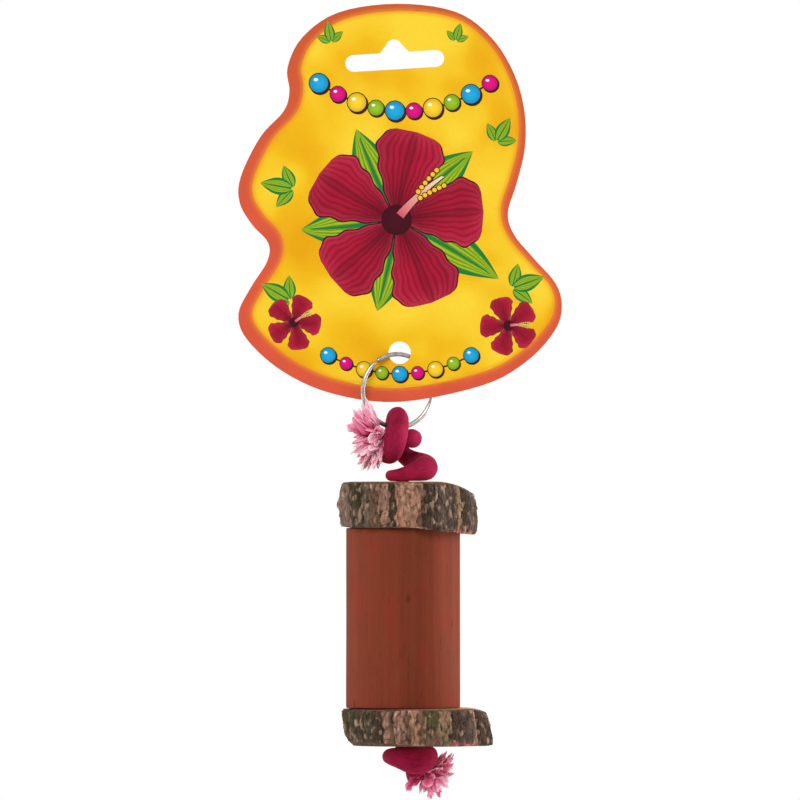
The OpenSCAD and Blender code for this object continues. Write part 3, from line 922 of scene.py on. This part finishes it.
# Larger petals in front of each fan: the bend and tip of each from the rope's end, in millimetres to the
# right, back and up, and its half width
upper_petals = [
    ((-7, -3, 0.5), (-14.1, -4.5, 4), 1.8), ((-7, -5, 1), (-13.3, -6.5, 6.6), 1.3),
    ((-7.5, -4, 1.5), (-11.7, -5.5, 8.8), 1.4), ((-6, -3, 1), (-11.8, -4, -1.5), 0.6),
    ((-6, -4, 0), (-11.2, -4.5, -3.8), 1.7), ((-5, -3.5, -1), (-9.1, -3.5, -6), 1.6),
    ((-4.5, -3, -2), (-8.1, -3, -8.7), 0.7), ((-4, -4, -3), (-5, -4.5, -10.4), 1.1),
    ((-3, -4.5, -3), (-2.7, -5, -8.7), 0.5), ((-4, -4, -1.5), (-3.4, -4.5, -5.7), 1.0),
    ((-3, -6, 2.5), (-8.6, -6.2, 2.4), 1.6), ((-2.8, -6.5, 1), (-8, -7, -1), 1.7),
    ((-3, -6, -1), (-7.4, -6.6, -4.6), 1.5), ((-2.6, -6.5, 2), (-5.2, -7.5, 3.4), 1.5),
]
tuft_petals = [
    ((-4, -4, 1.5), (-6.8, -2.8, 12.6), 1.1), ((-5, -4, 1.5), (-8.4, -3, 11.7), 1.1),
    ((-3.5, -3.8, 2), (-5.5, -2.6, 11.3), 0.9), ((-6, -4, 1.5), (-9.5, -3.2, 10.1), 1.2),
    ((-5, -5, 2), (-8, -4.2, 10.4), 1.3), ((-4.5, -5, 1.5), (-7.4, -4.4, 8.4), 1.1),
    ((-3, 1.5, 2), (-3.4, 1.9, 9.7), 0.3),
]
lower_petals = [
    ((-4.5, -4, -0.5), (-7.6, -4.6, -5.4), 1.5), ((-1.5, -3, -2), (-3.5, -3.4, -6.5), 0.5),
    ((0, -3, -3), (-0.8, -4, -7.1), 0.7), ((0.5, -4, -3), (1.1, -4.4, -7.6), 0.8),
    ((1.5, -5, -1), (2.5, -5.5, -6.2), 1.8), ((2.5, -5.5, 0), (5.1, -5.4, -4.6), 1.8),
    ((2.5, -5, 1), (5.8, -5, -2), 1.6), ((0.5, -5.5, 0), (-0.7, -6, -4.8), 1.7),
    ((4, -2, 0), (8, -2.4, -0.3), 0.45), ((4, -2, 1), (7.9, -2.2, 1.3), 0.6),
    ((4, -2, 1), (7.9, -2, 3.2), 0.6), ((4, -1.5, 1), (7.2, -2, 4.9), 0.5),
    ((4, -1, 1), (7.4, -1.6, 6.4), 0.5), ((3, -1.5, 2), (5.7, -1.6, 7.4), 0.6),
    ((3.5, -1.8, 1.5), (6, -2.2, 5.2), 1.3),
]


def fan_paths(end, way, aim, spread, length, chance):
    """Start, bend and tip of each lock in a fan like the CAD's, and its half width."""
    root = end[:3] + stub / 2 * way
    radius = 0.95 * end[3] - 0.34 * MM
    e1, f1 = (unit(up - (up @ axis) * axis) for axis in (way, aim))
    e2, f2 = np.cross(way, e1), np.cross(aim, f1)
    for k in range(lock_count):
        share = math.sqrt((k + 0.5) / lock_count)
        turn = golden * k
        start = root + radius * share * (math.cos(turn) * e1 + math.sin(turn) * e2)
        lean = math.radians(spread * share)
        go = math.cos(lean) * aim + math.sin(lean) * (math.cos(turn) * f1 + fan_flat * math.sin(turn) * f2)
        bend = start + 0.4 * length * unit(way + go)
        yield start, bend, start + length * chance.uniform(0.8, 1.1) * go, chance.uniform(0.45, 0.9) * MM


def petal_paths(end, way, right, back, petals):
    """Start, bend and tip of each listed petal, and its half width."""
    start = end[:3] + stub / 2 * way
    for *places, wide in petals:
        bend, tip = (start + (x * right + y * back + z * up) * MM for x, y, z in places)
        yield start, bend, tip, wide * MM


def wire_room(spots, turns):
    """Least distance from points on the rope to the ring's wire as the toy swings through the turns."""
    right, back, high = ((spots.reshape(-1, 3) - ring_foot) @ way for way in (ring_right, ring_back, up))
    cos, sin = np.cos(turns)[:, None], np.sin(turns)[:, None]
    from_middle = np.hypot(right, back * sin + high * cos - ring_r)
    return np.hypot(from_middle - ring_r, back * cos - high * sin).min() - wire_d / 2


class Strands:
    """Flat strands that are gathered into one mesh, clear of the wire through the turns given."""

    def __init__(self, turns):
        self.turns = turns
        self.points = []
        self.tints = []
        self.faces = []
        self.count = 0

    def add(self, line, side, over, wide, thick, paleness, sides, cup=0.0, lumps=0.0):
        """A strand along the line, with its half width, half thickness and paleness at each point.

        It is cupped across by so many times its half width squared, in millimetres, and lumpy by a height.
        """
        cos, sin = circle(sides)
        across = wide[:, None] * cos
        through = thick[:, None] * sin + cup * across ** 2 / MM
        points = line[:, None] + across[..., None] * side[:, None]
        if lumps:
            crumple = noises(points, 1.7 * MM)
            points = points + (crumple * across * 0.45)[..., None] * side[:, None]
            through = through + lumps * crumple
        points = points + through[..., None] * over[:, None]
        if wire_room(points, self.turns) < least_room:
            return
        self.points.append(points.reshape(-1, 3))
        shares = np.clip(np.broadcast_to(paleness, across.shape), 0, 1).ravel()
        tint = [np.interp(shares, fibre_stops, part) for part in fibre_colours.T]
        self.tints.append(np.column_stack(tint))
        self.faces += [tuple(v + self.count for v in face) for face in tube_faces(len(line), sides)]
        self.count += len(line) * sides


def add_lock(strands, spine, share, side, over, wide, pale, chance):
    """A felted petal with a rounded tip, flat wisps that lie on it, and loose hairs."""
    slim = min(1, max(0.25, wire_room(spine[4:], strands.turns) / full_room))
    wide = wide * slim
    cup = chance.uniform(-0.22, 0.22)
    tip = np.sqrt(np.clip(1 - (np.clip(share - 0.72, 0, 1) / 0.28) ** 2, 0.004, 1))
    ruffle = 1 + 0.22 * np.sin(chance.uniform(11, 18) * share + chance.uniform(0, 6))
    petal_wide = wide * np.interp(share, (0, 0.45, 0.75, 1), (0.35, 0.9, 1.05, 1)) * tip * ruffle
    petal_thick = np.interp(share, (0, 0.5, 1), (0.55, 0.42, 0.3)) * slim * MM * tip
    rows, columns = np.meshgrid(share, np.arange(petal_sides), indexing="ij")
    seed = np.full_like(rows, chance.uniform(0, 99))
    streak = noises(np.stack([rows * 1.5, columns * 0.55, seed], -1), 1)
    paleness = pale * (0.75 * rows ** 1.4 + 0.3 * rows * np.abs(circle(petal_sides)[0])) + 0.32 * streak
    felt = spine[0] + (spine - spine[0]) * 0.97
    strands.add(felt, side, over, petal_wide, petal_thick, paleness, petal_sides, cup, 0.75 * slim * MM)
    # Fewer rows do for the thin strands
    share, spine, side, over, petal_wide, petal_thick = (np.concatenate([row[:-1:2], row[-1:]])
        for row in (share, spine, side, over, petal_wide, petal_thick))
    for k in range(wisps_per_lock + hairs_per_lock):
        hair = k >= wisps_per_lock
        place = chance.uniform(-1, 1)
        length = chance.uniform(0.6, 1.04) - 0.1 * place ** 2
        sway = chance.uniform(0.15, 0.5) * slim * MM
        sway = sway * np.sin(chance.uniform(4, 9) * share + chance.uniform(0, 6))
        across = place * (petal_wide * 0.95 + wide * 0.4 * share ** 3) + sway * share
        lift = chance.choice((-1, 1)) * chance.uniform(0.9, 2.2) * petal_thick + cup * across ** 2 / MM
        line = spine[0] + (spine - spine[0]) * length + side * across[:, None]
        line = line + over * (lift + 0.4 * sway[::-1] * share)[:, None]
        full = chance.uniform(0.03, 0.05) if hair else chance.uniform(0.16, 0.4) * slim
        half_wide = full * MM * np.interp(share, (0, 0.3, 0.85, 1), (0.7, 0.9, 1, 0.45))
        half_thick = half_wide if hair else half_wide * 0.35
        tone = chance.uniform(0.55, 1.25) * pale * share ** 1.2 + 0.1 * abs(place) * pale
        strands.add(line, side, over, half_wide, half_thick, tone[:, None], 3 if hair else 6)


def fray(name, body, node, paths, turns, pale, chance):
    """A frayed end, or a part of one, made of the locks on the paths."""
    strands = Strands(turns)
    share = np.sin(np.linspace(0, math.pi / 2, lock_rows))
    t = share[:, None]
    for start, bend, tip, wide in paths:
        spine = (1 - t) ** 2 * start + 2 * (1 - t) * t * bend + t ** 2 * tip
        facing = unit(np.array([chance.uniform(*ends) for ends in facing_ranges]))
        ways = unit(np.gradient(spine, axis=0))
        side = unit(np.cross(facing, ways))
        over = np.cross(ways, side)
        spine = spine + over * t ** 2 * chance.uniform(-0.9, 0.9) * MM
        twist = chance.uniform(-1, 1) * t
        cos, sin = np.cos(twist), np.sin(twist)
        side, over = cos * side + sin * over, cos * over - sin * side
        add_lock(strands, spine, share, side, over, wide, pale * chance.uniform(0.7, 1.2), chance)
    made = make_piece(name, body, np.vstack(strands.points), strands.faces, [fibre_material()])
    give(made, "tint", "FLOAT_COLOR", np.vstack(strands.tints))
    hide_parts(node)
    return made


def make_frayed_ends(path):
    first, last = end_ways(path)
    upper_aim = unit(-0.9 * ring_right - 0.3 * ring_back - 0.2 * up)
    lower_aim = unit(np.array((0.6, -0.5, -0.45)))
    chance = random.Random(11)
    upper = [*fan_paths(path[0], first, upper_aim, *upper_fan, chance),
        *petal_paths(path[0], first, ring_right, ring_back, upper_petals)]
    fray("upper_fray", "rope", "upper_frayed_end", upper, swing_turns, upper_pale, chance)
    # The tuft lies over the wire and stays with it when the toy swings
    tuft = petal_paths(path[0], first, ring_right, ring_back, tuft_petals)
    made = fray("upper_tuft", None, "upper_frayed_end", tuft, np.zeros(1), tuft_pale, chance)
    root = path[0, :3]
    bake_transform(made, "rope", "ring", root, root + (-3 * ring_right - 2 * ring_back + 4.5 * up) * MM)
    chance = random.Random(23)
    lower = [*fan_paths(path[-1], last, lower_aim, *lower_fan, chance),
        *petal_paths(path[-1], last, plus_x, plus_y, lower_petals)]
    fray("lower_fray", "rope", "lower_frayed_end", lower, swing_turns, lower_pale, chance)


# Branch slices

slice_middle = {"upper": rope_x + 1.2 * MM, "lower": rope_x + 4.5 * MM}
growth_ring = 1.7 * MM
bark_ring_points = 9
round_steps = 6
level_steps = 12
rim_rings = 8
chip_depth = 0.35 * MM
rim_depth = 0.2 * MM

bark_tones = {
    "rose": srgb(150, 112, 94),
    "olive": srgb(72, 64, 44),
    "ash": srgb(126, 102, 90),
    "brown": srgb(117, 88, 70),
    "umber": srgb(75, 58, 46),
    "dun": srgb(112, 93, 78),
    "tan": srgb(172, 127, 102),
    "slate": srgb(90, 74, 63),
    "straw": srgb(138, 110, 84),
    "moss": srgb(86, 80, 52),
    "blush": srgb(152, 114, 96),
}
# Green growth dies away towards the foot of its strip, where these tones show instead
foot_tones = {"olive": "slate", "moss": "brown"}
bark_pale = srgb(206, 172, 146)
# Near black, for the painted shade in the bark's cracks
crack_shade = srgb(44, 33, 28)
rope_stain = srgb(214, 118, 112)

# Strips of bark on the front of each slice: where each starts, in degrees from the front to the right, and
# its tone
upper_strips = {-95: "ash", -58: "olive", -42: "dun", -34: "brown", -24: "blush", -16: "umber", -11: "tan",
    12: "brown", 16: "umber", 27: "slate", 48: "straw", 57: "umber", 70: "slate"}
lower_strips = {-95: "olive", -55: "umber", -51: "olive", -42: "umber", -30: "blush", -25: "brown",
    -20.5: "blush", -10: "brown", -6.5: "tan", 1.5: "brown", 7: "moss", 18: "straw", 28: "umber",
    37: "slate", 52: "blush", 58: "umber"}
strips_end = 95
# A knob on the upper slice: its angle from the front, height, reach, and rise in millimetres
knob_turn = math.radians(-84)
knob_z = -149.2 * MM
knob_reach = 1.5 * MM
knob_rise = 1.1


def bark_rings(node, middle):
    """The CAD bark's points round the slice: its outer levels from the lowest up, and its two inner rims."""
    mesh = frame["nodes"][node].data
    spots = np.unique(np.round([tuple(v.co) for v in mesh.vertices], 6), axis=0)
    columns = len(spots) // bark_ring_points
    half_step = math.pi / columns
    turn = (np.arctan2(spots[:, 1], spots[:, 0] - middle) + half_step) % (2 * math.pi)
    grouped = spots[np.argsort(turn)].reshape(columns, bark_ring_points, 3)
    outer, rims = [], []
    for own in grouped:
        own = own[np.argsort(np.hypot(own[:, 0] - middle, own[:, 1]))]
        rims.append(own[:2][np.argsort(own[:2, 2])])
        outer.append(own[2:][np.argsort(own[2:, 2])])
    return np.array(outer).transpose(1, 0, 2), np.array(rims).transpose(1, 0, 2)


def bent(a, b, c, d, t):
    """A smooth step from b to c."""
    return b + ((c - a) * t + (2 * a - 5 * b + 4 * c - d) * t * t + (3 * b - a - 3 * c + d) * t ** 3) / 2


def smooth_round(rows, steps):
    """More points round closed rows."""
    near = [np.roll(rows, shift, 1) for shift in (1, 0, -1, -2)]
    return np.stack([bent(*near, k / steps) for k in range(steps)], 2).reshape(len(rows), -1, 3)


def smooth_up(rows, steps):
    """More rows from the first to the last."""
    q = np.concatenate([2 * rows[:1] - rows[1:2], rows, 2 * rows[-1:] - rows[-2:-1]])
    between = [bent(*q[i:i + 4], k / steps) for i in range(len(rows) - 1) for k in range(steps)]
    return np.array([*between, rows[-1]])


def strips_round(front, chance):
    """The strips of the front, and more of the same kind round the back: starts, tones, feet and levels."""
    starts, tones = list(front), list(front.values())
    start = strips_end
    while start < 350 + starts[0]:
        starts.append(start)
        tones.append(chance.choice(sorted(bark_tones)))
        start += chance.uniform(6, 17)
    levels = [chance.uniform(-0.2, 0.2) for _ in starts]
    feet = [foot_tones.get(tone, tone) for tone in tones]
    heads, feet = (np.array([bark_tones[tone] for tone in row]) for row in (tones, feet))
    return np.array(starts), heads, feet, np.array(levels)


def bark_surface(outer, middle, strips, stain, seed):
    """Height of the bark's relief and its colour at each point of its outside, with painted shade in its
    furrows and cracks.
    """
    starts, heads, feet, levels = strips_round(strips, random.Random(seed))
    points = outer / MM + (7 * seed, 0, 0)
    turn = np.degrees(np.arctan2(outer[..., 0] - middle, -outer[..., 1]))
    turn = turn + 3 * noises(points, (5, 5, 6)) + 4 * noises(points, (1.5, 1.5, 2.4))
    turn = (turn - starts[0]) % 360 + starts[0]
    strip = np.searchsorted(starts, turn, "right") - 1
    reach = np.hypot(outer[..., 0] - middle, outer[..., 1])
    after = np.append(starts[1:], starts[0] + 360)
    edge = np.radians(np.minimum(turn - starts[strip], after[strip] - turn)) * reach / MM
    furrow = np.exp(-(edge / 0.45) ** 2) * np.clip(0.5 + 1.5 * noises(points, (4, 4, 5)), 0, 1)
    streak = noises(points, (0.8, 0.8, 6)) + 0.5 * noises(points, (0.4, 0.4, 2.5))
    crust = noises(points, (1.5, 1.5, 1.9)) + 0.6 * noises(points, (0.7, 0.7, 0.9))
    flake = np.clip((noises(points, (1.4, 1.4, 2.6)) + 0.4 * crust - 0.22) / 0.25, 0, 1)
    crack = np.clip(1 - np.abs(noises(points, (1.9, 1.9, 5)) + 0.25 * crust) / 0.09, 0, 1)
    relief = levels[strip] + 0.18 * streak + 0.16 * crust + 0.22 * flake - 0.3 * crack - 0.4 * furrow
    # Painted shade: the colour is darkened by up to a half in the furrows between strips, beside their real
    # dip in the relief
    shade = (1 + 0.34 * streak + 0.42 * crust) * (1 - 0.5 * furrow)
    rise = outer[..., 2] - outer[0, :, 2]
    bare = np.clip(1.3 - 2 * rise / rise[-1] + 0.8 * crust, 0, 1)
    colour = blended(heads[strip], feet[strip], bare) * np.clip(shade, 0.25, 1.7)[..., None]
    colour = blended(colour, bark_pale, 0.6 * flake * np.clip(0.6 + streak, 0, 1))
    # Painted shade: cracks are darkened towards near black
    colour = blended(colour, crack_shade, 0.65 * crack)
    stain_from, stain_to = stain
    stained = np.exp(-(rise / (1.1 * MM)) ** 2) * ((turn > stain_from) & (turn < stain_to))
    return relief, blended(colour, rope_stain, 0.75 * stained * np.clip(0.8 + crust, 0, 1))


def knob_height(outer, middle):
    """Rise of the knob, in millimetres. It dies away well above the lower slice."""
    reach = np.linalg.norm(outer[0, :, :2] - (middle, 0), axis=1).mean()
    spot = np.array((middle + reach * math.sin(knob_turn), -reach * math.cos(knob_turn), knob_z))
    return knob_rise * np.exp(-(((outer - spot) / knob_reach) ** 2).sum(-1))


def make_bark(level, strips, stain, seed):
    """The bark of one slice: relief on its outside, and sawn rims that are chipped a little."""
    middle = slice_middle[level]
    outer, rims = bark_rings(level + "_slice_bark", middle)
    outer = smooth_up(smooth_round(outer, round_steps), level_steps)
    low, high = smooth_round(rims, round_steps)
    columns = outer.shape[1]
    away = (outer - (middle, 0, 0)) * (1, 1, 0)
    relief, tint = bark_surface(outer, middle, strips, stain, seed)
    relief = relief + knob_height(outer, middle)
    outer = outer + unit(away) * (relief * MM)[..., None]
    chip = noises(outer[-1], 1.6 * MM)
    outer[-1, :, 2] -= np.clip(chip, 0, 1) * chip_depth
    outer[0, :, 2] += np.clip(-chip, 0, 1) * chip_depth
    share = np.linspace(0, 1, rim_rings + 1)[1:, None, None]
    top = outer[-1] + (high - outer[-1]) * share
    bottom = (outer[0] + (low - outer[0]) * share)[::-1]
    fade = np.sin(math.pi * share[..., 0]) * rim_depth
    bottom[..., 2] += np.abs(noises(bottom, 1.1 * MM)) * fade[::-1]
    top[..., 2] -= np.abs(noises(top, 1.1 * MM)) * fade
    rows = np.concatenate([bottom, outer, top])
    faces = grid_faces(len(rows), columns, True)
    materials = [bark_material(), cut_bark_material()]
    made = make_piece(level + "_bark", level + "_slice", rows, faces, materials)
    inner = np.ones((rim_rings, columns, 4))
    give(made, "tint", "FLOAT_COLOR", np.concatenate([inner, tint, inner]))
    sawn = np.ones((len(rows), columns), int)
    sawn[rim_rings:rim_rings + len(outer) - 1] = 0
    made.data.polygons.foreach_set("material_index", sawn.ravel())
    made.data.set_sharp_from_angle(angle=math.radians(50))
    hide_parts(level + "_slice_bark")


def make_slices():
    # Dye from the rope stains the foot of the bark between two angles, in degrees from the front to the right
    make_bark("upper", upper_strips, stain=(44, 84), seed=3)
    make_bark("lower", lower_strips, stain=(28, 56), seed=8)
    for level, pith in (("upper", (5.5 * MM, 2.5 * MM)), ("lower", (8.5 * MM, -2 * MM))):
        wood = frame["nodes"][level + "_slice_wood"]
        wood.data.materials.clear()
        wood.data.materials.append(end_grain_material(level + "_end_grain", pith))


# Turned block

block_low, block_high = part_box("block")
block_edge = 0.45 * MM
bore_r = 3.6 * MM
block_sides = 240
side_rows = 90
# Depths of the lathe's unevenness and of the grain's grooves, and how far the side is drawn in to hold them
uneven_depth = 0.09 * MM
groove_depth = 0.02 * MM
block_inset = 0.08 * MM


def make_block():
    radius = (block_high.x - block_low.x) / 2
    middle = np.array(((block_low.x + block_high.x) / 2, 0, 0))
    inner = radius - block_edge
    top = block_high.z - block_edge
    half = [(r, block_high.z) for r in np.linspace(bore_r, inner, 14)[:-1]]
    bend = np.linspace(0, math.pi / 2, 7)
    half += [(inner + block_edge * math.sin(a), top + block_edge * math.cos(a)) for a in bend]
    side = [(radius, z) for z in np.linspace(top, block_low.z + block_edge, side_rows)[1:-1]]
    mirror = [(r, block_low.z + block_high.z - z) for r, z in half[::-1]]
    profile = np.array(half + side + mirror)
    reach = profile[:, :1]
    height = profile[:, 1:, None] * up
    out = np.column_stack([*circle(block_sides), np.zeros(block_sides)])
    uneven = uneven_depth * noises(out + height, (1 / 1.6, 1 / 1.6, 30 * MM))
    groove = groove_depth * noises(out + height, (1 / 26, 1 / 26, 40 * MM))
    worn = (uneven + groove) * np.minimum(1, (reach - bore_r) / (5 * MM)) - block_inset * (reach > inner)
    points = middle + out * (reach + worn)[..., None] + height
    faces = [face[::-1] for face in grid_faces(len(profile), block_sides, True)]
    made = make_piece("stained_block", "block", points, faces, [stained_wood_material()])
    made.data.set_sharp_from_angle(angle=math.radians(40))
    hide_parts("block")


make_stage()
rope_path = smooth_path(rope_route(), rope_steps)
make_rope(domed(rope_path))
make_frayed_ends(rope_path)
make_card()
make_ring()
make_slices()
make_block()
